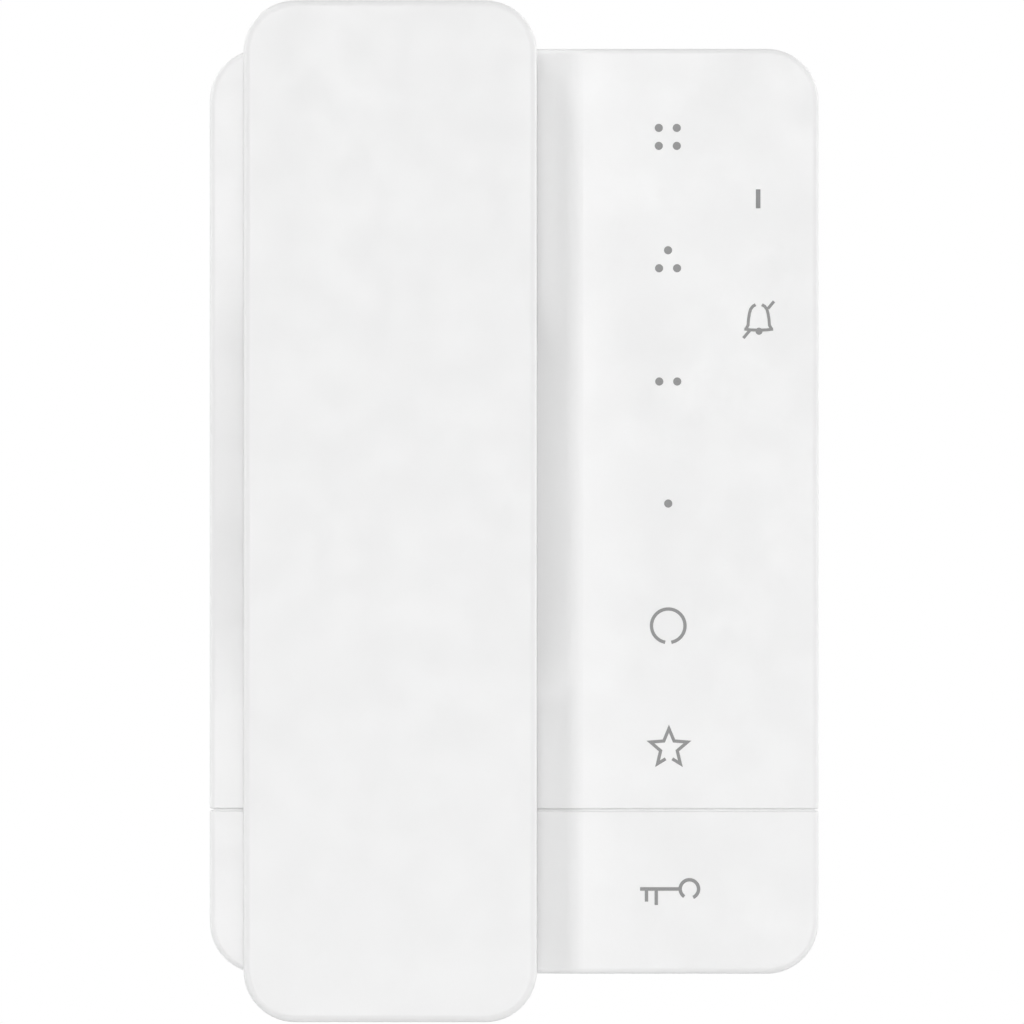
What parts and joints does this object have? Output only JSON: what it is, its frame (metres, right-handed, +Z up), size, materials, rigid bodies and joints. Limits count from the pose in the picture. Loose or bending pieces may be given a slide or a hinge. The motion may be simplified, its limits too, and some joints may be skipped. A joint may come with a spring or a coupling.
{
  "type": "audio intercom handset",
  "caption": "Wall-mounted audio intercom: a flat rounded handset hooked on a thin base with a touch panel, a scooped finger channel and a wide rocking door key.",
  "frame": {"origin": "centre of the wall plate's four-screw pattern, on the wall plane", "axes": "+X to the right and +Z up for someone facing the intercom, +Y into the wall"},
  "size_m": [0.106, 0.042, 0.1774],
  "materials": {
    "cover_plastic": "satin white ABS",
    "handset_plastic": "satin white ABS",
    "shell_plastic": "fine-grained light grey ABS",
    "zinc_steel": "zinc-plated sheet",
    "screw_steel": "zinc-plated",
    "board_laminate": "green solder mask",
    "copper": "bare copper foil",
    "clear_plastic": "smoked clear acrylic",
    "lamp_white": "white package",
    "black_plastic": "black nylon",
    "speaker_metal": "grey painted steel",
    "rubber": "black silicone",
    "spring_steel": "drawn spring wire",
    "terminal_plastic": "green nylon",
    "transformer_steel": "varnished laminations",
    "capacitor_sleeve": "dark sleeve",
    "socket_plastic": "pale nylon",
    "contact_gold": "gold-plated wire",
    "stem_plastic": "ivory nylon",
    "felt": "thin black felt",
    "weight_steel": "bare steel"
  },
  "bodies": {
    "base": {"base_screws": "screw_steel", "board_pins": "black_plastic", "board_screws": "screw_steel", "board_socket": "black_plastic", "bus_terminal_block": "terminal_plastic", "capacitors": "capacitor_sleeve", "configurator_socket": "black_plastic", "cord_jack": "socket_plastic", "cord_jack_contacts": "contact_gold", "door_switch": "black_plastic", "front_fascia": "cover_plastic", "hook_spring": "spring_steel", "hook_switch": "black_plastic", "key_springs": "spring_steel", "line_transformer": "transformer_steel", "main_board": "board_laminate", "rear_shell": "shell_plastic", "ringer_gasket": "rubber", "ringer_speaker": "speaker_metal", "status_lamp": "lamp_white", "status_light_guide": "clear_plastic", "terminal_screws": "screw_steel", "touch_board": "board_laminate", "touch_electrodes": "copper", "wall_plate": "zinc_steel"},
    "handset": {"handset_outer_shell": "handset_plastic", "handset_inner_shell": "handset_plastic", "receiver_capsule": "speaker_metal", "receiver_gasket": "rubber", "ear_felt": "felt", "mic_capsule": "speaker_metal", "mic_boot": "rubber", "handset_board": "board_laminate", "handset_jack": "socket_plastic", "handset_jack_contacts": "contact_gold", "balance_weight": "weight_steel", "handset_screws": "screw_steel"},
    "door_key": {"door_key": "cover_plastic"},
    "door_switch_stem": {"door_switch_stem": "stem_plastic"},
    "hook_plunger": {"hook_plunger": "shell_plastic"}
  },
  "joints": [
    {"name": "handset_lift", "type": "slide", "parent": "base", "child": "handset", "axis": [0, -0.866, 0.5], "range_m": [0, 0.1]},
    {"name": "hook_plunger_slide", "type": "slide", "parent": "base", "child": "hook_plunger", "axis": [0, -1, 0], "range_m": [0, 0.0036], "deforming": ["hook_spring"]},
    {"name": "door_key_press", "type": "hinge", "parent": "base", "child": "door_key", "pos_m": [0, -0.009, -0.049], "axis": [1, 0, 0], "range_deg": [0, 2.2], "stiffness_Nm_per_rad": 0.5, "springref_deg": -2.01, "deforming": ["key_springs"]},
    {"name": "door_switch_stem_press", "type": "slide", "parent": "base", "child": "door_switch_stem", "axis": [0, 1, 0], "range_m": [0, 0.00066]}
  ],
  "couplings": [
    {"joint": "hook_plunger_slide", "follows": "handset_lift", "ratio": 0.036},
    {"joint": "door_switch_stem_press", "follows": "door_key_press", "m_per_rad": 0.017}
  ]
}
